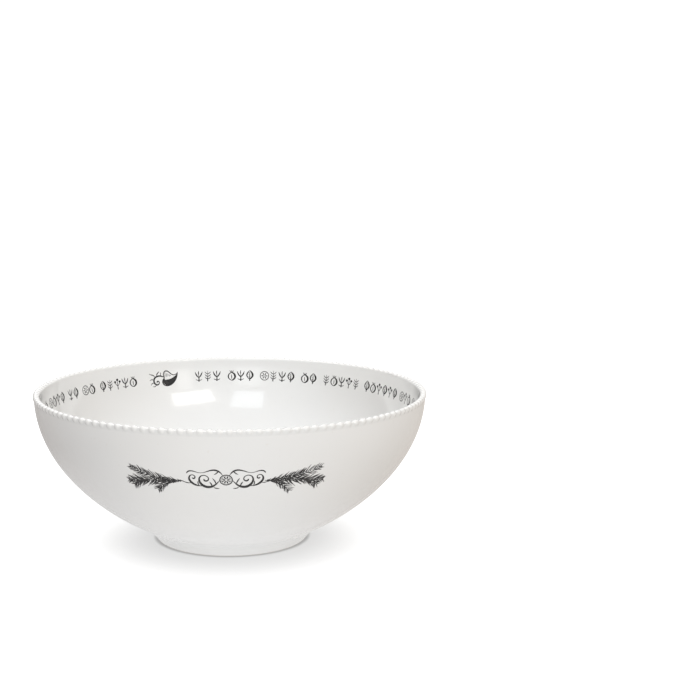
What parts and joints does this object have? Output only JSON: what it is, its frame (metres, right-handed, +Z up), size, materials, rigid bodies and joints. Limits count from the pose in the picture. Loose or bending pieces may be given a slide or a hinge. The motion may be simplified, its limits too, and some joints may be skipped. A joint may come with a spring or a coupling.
{
  "type": "punch bowl",
  "caption": "Deep round ceramic punch bowl on a low foot ring, with a beaded lip, dark leafy transfers on the front and a patterned band inside the rim.",
  "frame": {"origin": "centre of the circle on which the foot ring stands, on the table's plane", "axes": "+Z up along the bowl's axis, -Y towards the printed front, +X towards the printed front's right-hand side"},
  "size_m": [0.3556, 0.3556, 0.1382],
  "materials": {
    "white_glaze": "gloss",
    "transfer_ink": "gloss"
  },
  "bodies": {
    "root": {"bowl_body": "white_glaze", "foot_ring": "white_glaze", "pearl_strip": "white_glaze", "left_sprig_transfer": "transfer_ink", "centre_scroll_transfer": "transfer_ink", "right_sprig_transfer": "transfer_ink", "leaf_ornament_transfer": "transfer_ink", "band_transfer_1": "transfer_ink", "band_transfer_2": "transfer_ink", "band_transfer_3": "transfer_ink", "band_transfer_4": "transfer_ink"}
  },
  "joints": []
}
